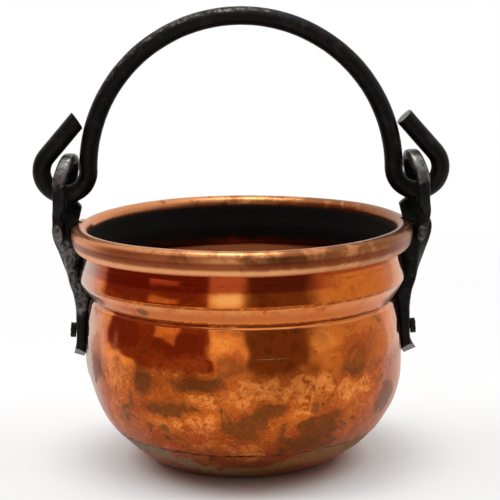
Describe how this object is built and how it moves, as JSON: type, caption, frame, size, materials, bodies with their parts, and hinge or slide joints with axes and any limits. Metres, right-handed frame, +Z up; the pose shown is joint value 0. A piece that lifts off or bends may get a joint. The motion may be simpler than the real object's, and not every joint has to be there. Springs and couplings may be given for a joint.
{
  "type": "copper cauldron",
  "caption": "Round-bellied copper cauldron with a wired rolled rim and a forged iron bail that swings in riveted strap ears.",
  "frame": {"origin": "centre of the flat base, on the surface that the cauldron stands on", "axes": "+X through the ears along the bail's hinge line, +Y away from the viewer, +Z up"},
  "size_m": [0.1824, 0.1496, 0.1994],
  "materials": {
    "copper": "polished copper with heat and tarnish stains",
    "iron": "forged and blackened"
  },
  "bodies": {
    "pot": {"bowl": "copper", "rim_wire": "iron", "ear_left": "iron", "ear_right": "iron", "rivet_left": "iron", "rivet_right": "iron", "rove_left": "copper", "rove_right": "copper"},
    "bail": {"bail": "iron"}
  },
  "joints": [
    {"name": "bail_swing", "type": "hinge", "parent": "pot", "child": "bail", "pos_m": [0, 0, 0.1184], "axis": [1, 0, 0], "range_deg": [-97, 97]}
  ]
}
